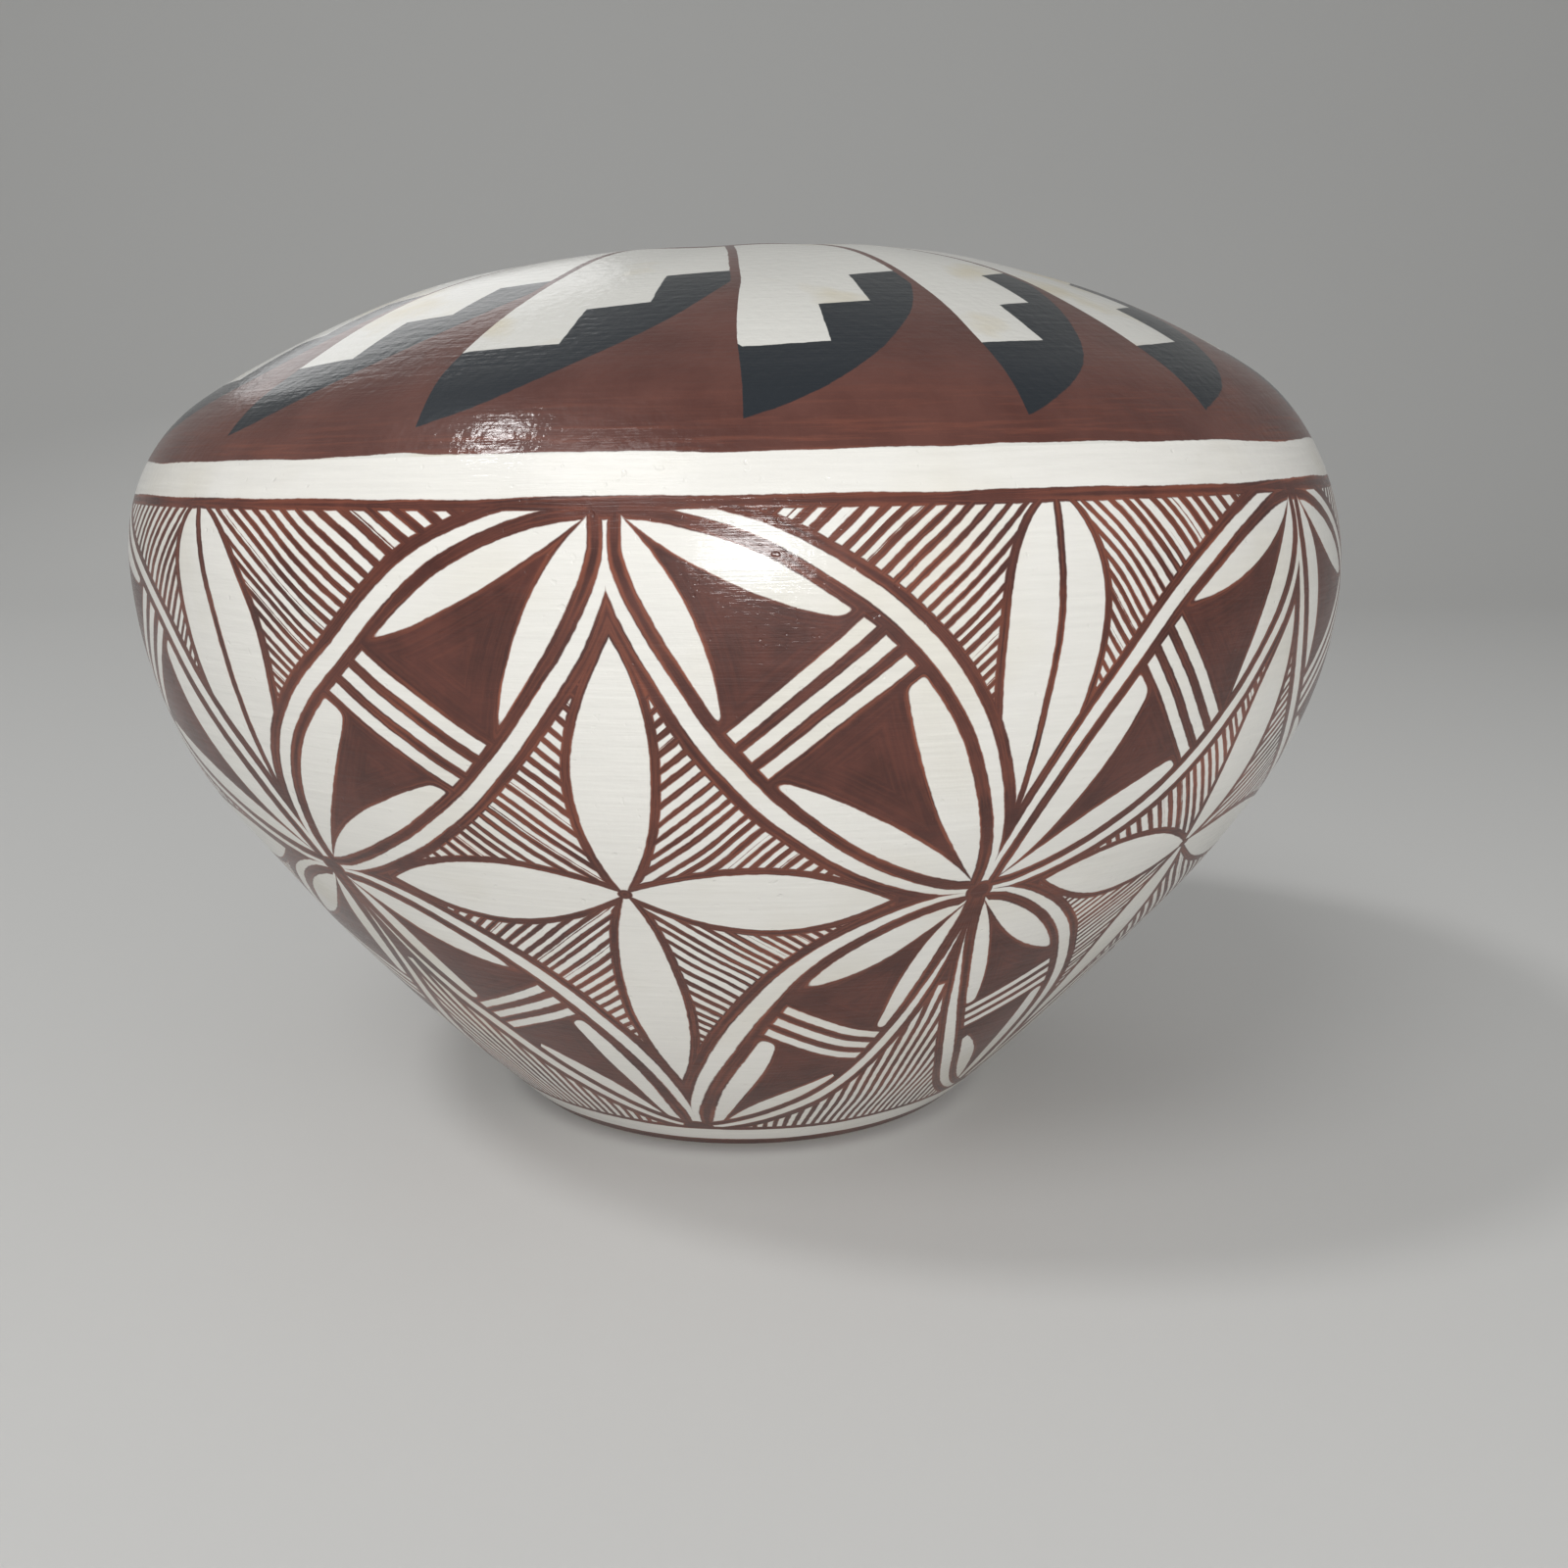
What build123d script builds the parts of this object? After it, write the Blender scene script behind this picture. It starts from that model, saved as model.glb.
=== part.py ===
from build123d import *
from math import asin, atan2, cos, pi, radians, sin
import os

# A pueblo pottery jar: a small flat foot, a wall that flares up to a wide belly, a tight
# round shoulder and a low dome that closes in to a small mouth.
# The origin is the middle of the foot, on the surface that the jar stands on. Lengths are
# in millimetres. The front, where the ornament is set out from, looks along -Y.

# Outer form: four arcs that run into each other, from the foot to the rim coil. The belly is
# the widest place, and the ends of its two arcs are set from there.
foot_radius = 38.0
belly_radius = 94.0
belly_height = 89.0
under_belly_inset = 11.0
under_belly_drop = 36.0
shoulder_inset = 13.5
shoulder_climb = 25.0
dome_end_radius = 29.0
dome_climb = 19.0

# Clay
clay_thickness = 5.0
base_thickness = 7.0
floor_cove = 9.0
seat_lap = 3.0

# Courses of clay, as the height of each measured up the wall with a tape
lower_wall_rise = 20.0
middle_wall_rise = 30.0
upper_wall_rise = 36.0
belly_rise = 27.0
shoulder_rise = 24.0
rim_coil_width = 6.0
lip_rounding = 1.8

# Slip and paint, their widths measured up the wall with a tape: rings from the foot up, and
# rings that follow from the widest place. The ornament fills the wall between them.
coat_thickness = 0.5
bare_foot_edge = 0.8
foot_paint_width = 2.2
foot_band_width = 4.0
lower_line_width = 1.2
upper_line_width = 1.2
shoulder_band_width = 5.4
dome_paint_rise = 16.3
rim_paint_width = 3.0

# Ring of feathers on the dome
feather_count = 16
first_feather_angle = -89.0
feather_tip_gap = 4.1
feather_tip_length = 11.6
feather_step_rise = 11.5
feather_divider = 1.1
feather_bulge = 5.8
step_end_shares = (0.37, 0.63)

cutter_overrun = 2.0

dome_end_height = belly_height + shoulder_climb + dome_climb


def arc_from(start, heading, end):
    """Centre and radius of the arc that leaves start along heading and reaches end.
    The radius is negative where the arc is hollow."""
    inward = (-heading[1], heading[0])
    run = (end[0] - start[0], end[1] - start[1])
    radius = (run[0] ** 2 + run[1] ** 2) / (2 * (run[0] * inward[0] + run[1] * inward[1]))
    return (start[0] + inward[0] * radius, start[1] + inward[1] * radius), radius


def normal_angle(centre, radius, point):
    """Direction straight out of the wall at a point of the arc."""
    return atan2((point[1] - centre[1]) / radius, (point[0] - centre[0]) / radius)


def outline():
    """The arcs of the outer form from the foot up: centre, radius, first and last normal angle."""
    foot = (foot_radius, 0)
    belly = (belly_radius, belly_height)
    wall_turn = (belly_radius - under_belly_inset, belly_height - under_belly_drop)
    shoulder = (belly_radius - shoulder_inset, belly_height + shoulder_climb)
    dome_end = (dome_end_radius, dome_end_height)
    under, under_radius = arc_from(belly, (0, 1), wall_turn)
    over, over_radius = arc_from(belly, (0, 1), shoulder)
    low_turn = normal_angle(under, under_radius, wall_turn)
    high_turn = normal_angle(over, over_radius, shoulder)
    wall, wall_radius = arc_from(wall_turn, (-sin(low_turn), cos(low_turn)), foot)
    dome, dome_radius = arc_from(shoulder, (-sin(high_turn), cos(high_turn)), dome_end)
    return [
        (wall, wall_radius, normal_angle(wall, wall_radius, foot), low_turn),
        (under, under_radius, low_turn, 0),
        (over, over_radius, 0, high_turn),
        (dome, dome_radius, high_turn, normal_angle(dome, dome_radius, dome_end)),
    ]


arcs = outline()
arc_lengths = [radius * (last - first) for centre, radius, first, last in arcs]
arc_starts = [sum(arc_lengths[:i]) for i in range(len(arcs) + 1)]
belly_station = arc_starts[2]
outline_end = arc_starts[-1]


def arc_index(station):
    return sum(station >= start for start in arc_starts[1:-1])


def angle_at(station, index):
    centre, radius, first, last = arcs[index]
    return first + (station - arc_starts[index]) / radius


def at(station, depth=0):
    """Radius and height at a tape distance up the wall and a depth below its surface."""
    index = arc_index(station)
    centre, radius, first, last = arcs[index]
    angle = angle_at(station, index)
    return (centre[0] + (radius - depth) * cos(angle), centre[1] + (radius - depth) * sin(angle))


def station_at_height(height, depth):
    """Tape distance, on the flaring wall, of the point at this height and depth."""
    centre, radius, first, last = arcs[0]
    return radius * (asin((height - centre[1]) / (radius - depth)) - first)


def in_section(point):
    return (point[0], 0, point[1])


def straight(start, end):
    return Line(in_section(start), in_section(end))


def wall_line(low, high, depth):
    """Arcs along the wall between two tape distances, at one depth."""
    stops = [low] + [start for start in arc_starts[1:-1] if low < start < high] + [high]
    edges = []
    for start, end in zip(stops, stops[1:]):
        index = arc_index((start + end) / 2)
        centre, radius, first, last = arcs[index]
        angles = [angle_at(station, index) for station in (start, (start + end) / 2, end)]
        reach = radius - depth
        points = [(centre[0] + reach * cos(a), centre[1] + reach * sin(a)) for a in angles]
        edges.append(ThreePointArc(*[in_section(point) for point in points]))
    return edges


def turned(edges):
    """The body that a closed outline sweeps about the jar's axis."""
    return revolve(make_face(edges), axis=Axis.Z)


def course(low, high):
    """A ring of the clay wall. The lap lifts the inner edge of its seats, so that rings nest."""
    return turned([
        *wall_line(low, high, coat_thickness),
        straight(at(high, coat_thickness), at(high + seat_lap, inner_depth)),
        *wall_line(low + seat_lap, high + seat_lap, inner_depth),
        straight(at(low, coat_thickness), at(low + seat_lap, inner_depth)),
    ])


def coat(low, high):
    """A ring of slip or paint on the clay, its edges square to the wall."""
    return turned([
        *wall_line(low, high, 0),
        straight(at(high), at(high, coat_thickness)),
        *wall_line(low, high, coat_thickness),
        straight(at(low), at(low, coat_thickness)),
    ])


inner_depth = coat_thickness + clay_thickness

# Seats between the courses of clay, as tape distances
base_seat = station_at_height(base_thickness, coat_thickness)
lower_seat = base_seat + lower_wall_rise
middle_seat = lower_seat + middle_wall_rise
upper_seat = middle_seat + upper_wall_rise
belly_seat = upper_seat + belly_rise
shoulder_seat = belly_seat + shoulder_rise
rim_seat = outline_end - rim_coil_width

# Edges between the painted rings, as tape distances
foot_paint_top = bare_foot_edge + foot_paint_width
foot_band_top = foot_paint_top + foot_band_width
ornament_bottom = foot_band_top + lower_line_width
dome_bottom = belly_station + dome_paint_rise
upper_line_top = dome_bottom - shoulder_band_width
ornament_top = upper_line_top - upper_line_width
dome_top = outline_end - rim_paint_width


def base_pat():
    """Flat pat of clay with the foot, its edge following the flare of the wall."""
    foot_edge = station_at_height(0, coat_thickness)
    return turned([
        straight((0, 0), at(foot_edge, coat_thickness)),
        *wall_line(foot_edge, base_seat, coat_thickness),
        straight(at(base_seat, coat_thickness), (0, base_thickness)),
        straight((0, base_thickness), (0, 0)),
    ])


def lower_wall_course():
    """First coils, on the rim of the pat, with a cove that runs out on the floor."""
    cove_top = station_at_height(base_thickness + floor_cove / 2, inner_depth)
    cove_start = at(cove_top, inner_depth)
    cove_end = (cove_start[0] - floor_cove, base_thickness)
    angle = angle_at(cove_top, 0)
    down_the_wall = (sin(angle), 0, -cos(angle))
    return turned([
        *wall_line(base_seat, lower_seat, coat_thickness),
        straight(at(lower_seat, coat_thickness), at(lower_seat + seat_lap, inner_depth)),
        *wall_line(cove_top, lower_seat + seat_lap, inner_depth),
        TangentArc(in_section(cove_start), in_section(cove_end), tangent=down_the_wall),
        straight(cove_end, at(base_seat, coat_thickness)),
    ])


def rim_coil():
    """Last coil, rounded over as the lip of the mouth."""
    middle = at(outline_end, coat_thickness + clay_thickness / 2)
    outward = angle_at(outline_end, len(arcs) - 1)
    lip = (middle[0] - lip_rounding * sin(outward), middle[1] + lip_rounding * cos(outward))
    edge = at(outline_end, coat_thickness), lip, at(outline_end, inner_depth)
    print("mouth radius", round(lip[0], 1))
    return turned([
        *wall_line(rim_seat, outline_end, coat_thickness),
        ThreePointArc(*[in_section(point) for point in edge]),
        *wall_line(rim_seat + seat_lap, outline_end, inner_depth),
        straight(at(rim_seat, coat_thickness), at(rim_seat + seat_lap, inner_depth)),
    ])


# The ring of feathers is drawn from above. Angles are in radians from a feather's straight
# edge, and radii are those of tape distances on the dome.
feather_pitch = 2 * pi / feather_count
tip_station = dome_bottom + feather_tip_gap
panel_station = tip_station + feather_tip_length
tip_radius = at(tip_station)[0]
step_radii = [at(panel_station + feather_step_rise * step)[0] for step in range(len(step_end_shares) + 1)]
step_angles = [feather_pitch * share for share in step_end_shares]
panel_top_radius = at(dome_top)[0] - cutter_overrun


def plan(radius, angle):
    return (radius * cos(angle), radius * sin(angle))


def by_divider(radius):
    """Where a feather ends, a painted line short of the next one's straight edge."""
    return plan(radius, feather_pitch - asin(feather_divider / radius))


def stepped_edge():
    """Kiva steps between the white panel and the black tip, from the straight edge out."""
    points = [plan(step_radii[0], 0)]
    for angle, radius, next_radius in zip(step_angles, step_radii, step_radii[1:]):
        points += [plan(radius, angle), plan(next_radius, angle)]
    points.append(by_divider(step_radii[-1]))
    return [Line(start, end) for start, end in zip(points, points[1:])]


def tip_outline():
    """The steps, the straight side down to the tip, and the curved side that bulges out."""
    tip = Vector(*plan(tip_radius, 0))
    end = Vector(*by_divider(step_radii[-1]))
    chord = end - tip
    bulge = (tip + end) / 2 + Vector(chord.Y, -chord.X).normalized() * feather_bulge
    return [*stepped_edge(), Line(plan(step_radii[0], 0), tip), ThreePointArc(tip, bulge, end)]


def panel_outline():
    """The steps, and the sides that run in past the dome's inner edge, which trims them."""
    inner_start = plan(panel_top_radius, 0)
    inner_end = by_divider(panel_top_radius)
    return [
        *stepped_edge(),
        Line(plan(step_radii[0], 0), inner_start),
        Line(inner_start, inner_end),
        Line(inner_end, by_divider(step_radii[-1])),
    ]


def ring_of(edges):
    """Upright cutters of one outline, one for each feather."""
    low = at(dome_bottom)[1] - cutter_overrun
    high = dome_end_height + cutter_overrun
    cutter = Pos(0, 0, low) * extrude(make_face(edges), amount=high - low)
    turns = [first_feather_angle + 360 * copy / feather_count for copy in range(feather_count)]
    return [Rot(0, 0, turn) * cutter for turn in turns]


def inlaid(coat_ring, cutters):
    """The pieces of the coat that lie inside the cutters."""
    return Compound([piece for cutter in cutters for piece in (coat_ring & cutter).solids()])


dome_coat = coat(dome_bottom, dome_top)
panel_cutters = ring_of(panel_outline())
tip_cutters = ring_of(tip_outline())

nodes = {
    "base_pat": base_pat(),
    "lower_wall_course": lower_wall_course(),
    "middle_wall_course": course(lower_seat, middle_seat),
    "upper_wall_course": course(middle_seat, upper_seat),
    "belly_course": course(upper_seat, belly_seat),
    "shoulder_course": course(belly_seat, shoulder_seat),
    "dome_course": course(shoulder_seat, rim_seat),
    "rim_coil": rim_coil(),
    "foot_paint": coat(bare_foot_edge, foot_paint_top),
    "foot_slip_band": coat(foot_paint_top, foot_band_top),
    "lower_framing_line": coat(foot_band_top, ornament_bottom),
    "body_slip": coat(ornament_bottom, ornament_top),
    "upper_framing_line": coat(ornament_top, upper_line_top),
    "shoulder_slip_band": coat(upper_line_top, dome_bottom),
    "dome_paint": dome_coat - panel_cutters - tip_cutters,
    "feather_panels": inlaid(dome_coat, panel_cutters),
    "feather_tips": inlaid(dome_coat, tip_cutters),
    "rim_paint": coat(dome_top, outline_end),
}

os.makedirs("parts", exist_ok=True)
for name, solid in nodes.items():
    export_step(solid, f"parts/{name}.step")
    print(name, len(solid.solids()), "solid", round(solid.volume), "mm3")
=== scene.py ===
import math

import bpy
import numpy as np
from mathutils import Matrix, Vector


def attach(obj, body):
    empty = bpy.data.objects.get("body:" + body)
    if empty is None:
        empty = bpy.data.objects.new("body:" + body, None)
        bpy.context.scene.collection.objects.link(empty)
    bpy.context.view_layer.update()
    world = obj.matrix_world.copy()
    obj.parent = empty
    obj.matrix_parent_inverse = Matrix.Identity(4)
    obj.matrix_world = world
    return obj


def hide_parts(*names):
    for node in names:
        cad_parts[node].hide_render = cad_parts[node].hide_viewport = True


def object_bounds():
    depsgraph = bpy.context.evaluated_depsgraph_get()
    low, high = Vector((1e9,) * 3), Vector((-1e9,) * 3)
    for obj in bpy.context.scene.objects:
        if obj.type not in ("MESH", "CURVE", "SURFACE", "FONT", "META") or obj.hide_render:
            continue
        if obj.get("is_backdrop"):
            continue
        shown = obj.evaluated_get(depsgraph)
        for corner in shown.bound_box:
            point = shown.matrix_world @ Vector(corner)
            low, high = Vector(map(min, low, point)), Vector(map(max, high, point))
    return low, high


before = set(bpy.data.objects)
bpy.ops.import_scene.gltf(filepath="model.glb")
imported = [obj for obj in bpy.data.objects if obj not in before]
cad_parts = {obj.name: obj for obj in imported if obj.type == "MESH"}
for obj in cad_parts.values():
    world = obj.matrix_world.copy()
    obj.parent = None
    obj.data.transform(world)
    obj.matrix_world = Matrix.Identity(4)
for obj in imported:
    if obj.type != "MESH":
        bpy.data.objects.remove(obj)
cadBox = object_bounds()
print("frame loaded")

# A hand-built pueblo pottery jar. Azimuths are in degrees from the front (-Y) towards +X, and
# stations are tape distances in mm up the wall from the foot, as in the part's source.

form = {  # mm
    "footRadius": 38.0,
    "bellyRadius": 94.0,
    "bellyHeight": 89.0,
    "underBellyInset": 11.0,
    "underBellyDrop": 36.0,
    "shoulderInset": 13.5,
    "shoulderClimb": 25.0,
    "domeEndRadius": 29.0,
    "domeClimb": 19.0,
    "clayThickness": 5.0,
    "baseThickness": 7.0,
    "floorCove": 9.0,
    "lipRounding": 1.8,
    "coatThickness": 0.5,
}
stations = {  # mm, ends of the pieces and rows of the ornament
    "footPaint": 0.8,
    "lowerLine": 7.0,
    "ornament": 8.2,
    "midRow": 68.0,
    "topRow": 118.6,
    "shoulderBand": 118.77,
    "dome": 124.17,
}
facets = {  # how finely the pieces are divided, lengths in mm
    "columns": 480,
    "clayColumns": 160,
    "coatStep": 1.2,
    "hiddenStep": 6.0,
    "clayStep": 5.0,
    "lipSteps": 8,
    "coveSteps": 5,
    "smoothAngle": 35.0,  # degrees
}
hand = {  # how far the hand-built form leaves a turned one
    "leanStart": 80.0,  # mm, heights between which the lean sets in
    "leanEnd": 125.0,
    "tilt": 0.0357,  # rise of the dome per mm towards +X
    "drift": -2.25,  # mm
    "undulation": 0.22 / 1.4,  # mm, what scraping and rubbing leave
    "calm": 20.0,  # mm above the foot, where the waves have set in
    # waves: how many round the jar, mm of tape in a radian, start, share
    "waves": [(3, 17, 0.6, 1.0), (5, -11, 2.1, 0.7), (8, 7, 4.0, 0.5), (13, -5, 0.0, 0.35)],
}


def arcFrom(start, heading, end):
    # centre and signed radius of the arc that leaves start along heading and reaches end
    inward = (-heading[1], heading[0])
    run = (end[0] - start[0], end[1] - start[1])
    radius = (run[0] ** 2 + run[1] ** 2) / (2 * (run[0] * inward[0] + run[1] * inward[1]))
    return (start[0] + inward[0] * radius, start[1] + inward[1] * radius), radius


def normalAngle(centre, radius, point):
    return math.atan2((point[1] - centre[1]) / radius, (point[0] - centre[0]) / radius)


def outline():
    # the arcs of the outer form from the foot up: centre, radius, first and last normal angle
    foot = (form["footRadius"], 0)
    belly = (form["bellyRadius"], form["bellyHeight"])
    turn = (belly[0] - form["underBellyInset"], belly[1] - form["underBellyDrop"])
    shoulder = (belly[0] - form["shoulderInset"], belly[1] + form["shoulderClimb"])
    domeEnd = (form["domeEndRadius"], shoulder[1] + form["domeClimb"])
    under, underRadius = arcFrom(belly, (0, 1), turn)
    over, overRadius = arcFrom(belly, (0, 1), shoulder)
    lowTurn = normalAngle(under, underRadius, turn)
    highTurn = normalAngle(over, overRadius, shoulder)
    wall, wallRadius = arcFrom(turn, (-math.sin(lowTurn), math.cos(lowTurn)), foot)
    dome, domeRadius = arcFrom(shoulder, (-math.sin(highTurn), math.cos(highTurn)), domeEnd)
    return [
        (wall, wallRadius, normalAngle(wall, wallRadius, foot), lowTurn),
        (under, underRadius, lowTurn, 0),
        (over, overRadius, 0, highTurn),
        (dome, domeRadius, highTurn, normalAngle(dome, domeRadius, domeEnd)),
    ]


arcs = outline()
arcLengths = [radius * (last - first) for centre, radius, first, last in arcs]
arcStarts = [sum(arcLengths[:i]) for i in range(len(arcs) + 1)]
outlineEnd = arcStarts[-1]


def wallAngle(station):
    index = sum(station >= start for start in arcStarts[1:-1])
    centre, radius, first, last = arcs[index]
    return index, first + (station - arcStarts[index]) / radius


def wallAt(station, depth=0.0):
    # (radius, height, station, depth) of a point of the wall
    index, angle = wallAngle(station)
    centre, radius = arcs[index][:2]
    reach = radius - depth
    across, up = centre[0] + reach * math.cos(angle), centre[1] + reach * math.sin(angle)
    return across, up, station, depth


def wallRun(low, high, depth, step):
    # points of the wall from one station to another, at most step apart
    count = max(1, math.ceil(abs(high - low) / step))
    return [wallAt(low + (high - low) * i / count, depth) for i in range(count + 1)]


def stationAtHeight(height, depth):
    centre, radius, first, last = arcs[0]
    return radius * (math.asin((height - centre[1]) / (radius - depth)) - first)


def coatOutline(low, high):
    # a closed ring section of slip and paint: its outer face is fine, its hidden one coarse
    outer = wallRun(low, high, 0.0, facets["coatStep"])
    inner = wallRun(high, low, form["coatThickness"], facets["hiddenStep"])
    return [*outer, *inner, wallAt(low)]


def clayOutline():
    # the clay body from the middle of its underside, over the lip and down to its floor
    skin = form["coatThickness"]
    inner = skin + form["clayThickness"]
    footEdge = stationAtHeight(0.0, skin)
    floor = form["baseThickness"]
    coveTop = stationAtHeight(floor + form["floorCove"] / 2, inner)
    points = [(0.0, 0.0, footEdge, skin), (form["footRadius"] * 0.6, 0.0, footEdge, skin)]
    points += wallRun(footEdge, outlineEnd, skin, facets["clayStep"])
    half = form["clayThickness"] / 2
    lip = wallAt(outlineEnd, skin + half)
    along = wallAngle(outlineEnd)[1] + math.pi / 2
    for step in range(1, facets["lipSteps"]):
        turn = math.pi * step / facets["lipSteps"]
        out, across = math.sin(turn) * form["lipRounding"], math.cos(turn) * half
        r = lip[0] + out * math.cos(along) + across * math.sin(along)
        z = lip[1] + out * math.sin(along) - across * math.cos(along)
        points.append((r, z, outlineEnd, skin))
    points += wallRun(outlineEnd, coveTop, inner, facets["clayStep"])
    start = points[-1]
    drop = start[1] - floor
    corner = start[0] + drop * math.tan(wallAngle(coveTop)[1])
    end = start[0] - form["floorCove"]
    for step in range(1, facets["coveSteps"] + 1):  # a cove that runs out on the floor
        part = step / facets["coveSteps"]
        r = (1 - part) ** 2 * start[0] + 2 * part * (1 - part) * corner + part ** 2 * end
        points.append((r, floor + (1 - part) ** 2 * drop, coveTop, inner))
    points += [(points[-1][0] * 0.5, floor, coveTop, inner), (0.0, floor, coveTop, inner)]
    return points


def turnPiece(name, points, steps):
    # a section drawn by extruding one vertex, spun about the jar's axis and closed
    bpy.ops.object.select_all(action="DESELECT")
    place = (points[0][0] / 1000, 0, points[0][1] / 1000)
    bpy.ops.mesh.primitive_plane_add(size=0.001, location=place)
    piece = bpy.context.object
    piece.name = piece.data.name = name
    bpy.ops.object.transform_apply(location=True, rotation=True, scale=True)
    bpy.ops.object.mode_set(mode="EDIT")
    bpy.ops.mesh.select_all(action="SELECT")
    bpy.ops.mesh.merge(type="CENTER")
    for before, after in zip(points, points[1:]):
        step = ((after[0] - before[0]) / 1000, 0, (after[1] - before[1]) / 1000)
        bpy.ops.mesh.extrude_region_move(TRANSFORM_OT_translate={"value": step})
    bpy.ops.mesh.select_all(action="SELECT")
    bpy.ops.mesh.spin(steps=steps, angle=2 * math.pi, center=(0, 0, 0), axis=(0, 0, 1))
    bpy.ops.mesh.select_all(action="SELECT")
    bpy.ops.mesh.remove_doubles(threshold=2e-6)
    bpy.ops.mesh.normals_make_consistent(inside=False)
    bpy.ops.object.mode_set(mode="OBJECT")
    return piece


def readPoints(mesh):
    places = np.empty(len(mesh.vertices) * 3)
    mesh.vertices.foreach_get("co", places)
    return places.reshape(-1, 3) * 1000


def onWall(places, points):
    # azimuth, station and depth of each vertex, from the section point that it was turned from
    radius = np.hypot(places[:, 0], places[:, 1])
    section = np.array(points)
    nearest = np.empty(len(places), int)
    chunk = 20000
    for part in range(0, len(places), chunk):
        some = slice(part, part + chunk)
        gaps = np.hypot(radius[some, None] - section[:, 0], places[some, 2, None] - section[:, 1])
        nearest[some] = gaps.argmin(1)
    azimuth = np.degrees(np.arctan2(places[:, 0], -places[:, 1]))
    return azimuth, section[nearest, 2], section[nearest, 3]


def shapeByHand(piece, azimuth, station):
    # the slight waves and the lean that a jar built without a wheel has
    mesh = piece.data
    places = readPoints(mesh)
    turn = np.radians(azimuth)
    wave = sum(
        share * np.sin(count * turn + station / length + start)
        for count, length, start, share in hand["waves"]
    ) * hand["undulation"]
    wave *= np.clip(station / hand["calm"], 0, 1)
    levels, level = np.unique(station, return_inverse=True)
    slope = np.array([wallAngle(s)[1] for s in levels])[level]
    places[:, 0] += wave * np.cos(slope) * np.sin(turn)
    places[:, 1] -= wave * np.cos(slope) * np.cos(turn)
    places[:, 2] += wave * np.sin(slope)
    climb = (places[:, 2] - hand["leanStart"]) / (hand["leanEnd"] - hand["leanStart"])
    part = np.clip(climb, 0, 1)
    lean = part * part * (3 - 2 * part)
    places[:, 2] += hand["tilt"] * places[:, 0] * lean
    places[:, 0] += hand["drift"] * lean
    mesh.vertices.foreach_set("co", (places / 1000).ravel())
    mesh.update()


lattice = {  # azimuths of the ornament's meeting points in front, one to 30 degrees
    "count": 12,
    "swing": 1.3,  # degrees, a hand's unevenness round the back
    "rate": 2.4,
    "start": -2.0,
    "top": [-77.5, -46.0, -8.5, 23.0, 50.5, 79.8],
    "mid": [-73.0, -41.2, -10.0, 20.7, 45.5, 77.0],
    "low": [-70.0, -41.0, -9.5, 23.0, 50.5, 80.5],
}
feather = {  # azimuths of the feathers' tips in front, and how much higher each one starts, mm
    "count": 16,
    "swing": 0.9,
    "rate": 1.9,
    "start": 0.0,
    "tips": [-46.0, -24.0, 1.0, 23.0, 42.5],
    "higher": [1.1, 1.4, -0.1, 0.2, 0.3],
    "higherSwing": 0.7,  # mm, round the back
    "higherRate": 2.7,
    "lean": 1.2,  # degrees, how far the straight edges lean
    "leanFrom": 138.0,  # mm
    "leanOver": 30.0,
    "higherFrom": 130.0,
    "higherOver": 10.0,
}
firstIndex = -2  # the first measured azimuth's place in both rings


def closeRing(ring, measured):
    # azimuths all round, the measured ones and then nearly even ones, and their indexes
    unseen = ring["count"] - len(measured)
    gap = (measured[0] + 360 - measured[-1]) / (unseen + 1)
    one = np.array([*measured, *[
        measured[-1] + gap * i + ring["swing"] * math.sin(ring["rate"] * i + ring["start"])
        for i in range(1, unseen + 1)]])
    indexes = np.arange(firstIndex - ring["count"], firstIndex + 2 * ring["count"])
    return np.concatenate([one - 360, one, one + 360]), indexes


rows = {row: closeRing(lattice, lattice[row]) for row in ("top", "mid", "low")}
tips = closeRing(feather, feather["tips"])
tipsHigher = np.array([*feather["higher"], *[
    feather["higherSwing"] * math.sin(feather["higherRate"] * i)
    for i in range(1, feather["count"] - len(feather["higher"]) + 1)]] * 3)

# how far the middle row rises at its points, mm
midRises = np.array([0.3, -0.5, 1.4, -0.6, 1.3, -0.2, 0.9, 0.0, 1.2, -0.5, 0.8, -0.2] * 3)

# Places where the brush left the regular pattern: azimuth, station, shift in degrees and mm, reach
# and how much sooner it fades to the right
drifts = [
    (-31.0, 102.0, -2.1, 3.6, 16.0, 1.0),
    (11.0, 32.0, -3.0, 5.4, 20.0, 1.5),
    (128.0, 34.0, 1.6, -2.5, 20.0, 1.0),
    (-140.0, 96.0, 1.5, 2.2, 16.0, 1.0),
    (170.0, 30.0, -2.0, 3.0, 18.0, 1.0),
    (95.0, 98.0, -1.2, -1.8, 16.0, 1.0),
]
mmPerDegree = 1.4  # round the jar, where the drifts are


def onLattice(azimuth, station):
    # phase round the jar, whole at each meeting point, and -1 to 1 from the bottom row to the top
    turn, rise = 0.0, 0.0
    for at, level, across, up, reach, fade in drifts:
        gap = (azimuth - at + 180) % 360 - 180
        gap = np.where(gap > 0, gap * fade, gap) * mmPerDegree
        share = np.exp(-(gap ** 2 + (station - level) ** 2) / reach ** 2)
        turn, rise = turn + share * across, rise + share * up
    azimuth, station = azimuth + turn, station + rise
    mid = stations["midRow"] + np.interp(azimuth, rows["mid"][0], midRises)
    top, low = stations["topRow"], stations["ornament"]
    q = np.where(station > mid, (station - mid) / (top - mid), (station - mid) / (mid - low))
    away = np.clip(np.abs(q), 0, 1)
    phase = {row: np.interp(azimuth, *points) for row, points in rows.items()}
    return phase["mid"] * (1 - away) + np.where(q > 0, phase["top"], phase["low"]) * away, q


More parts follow.
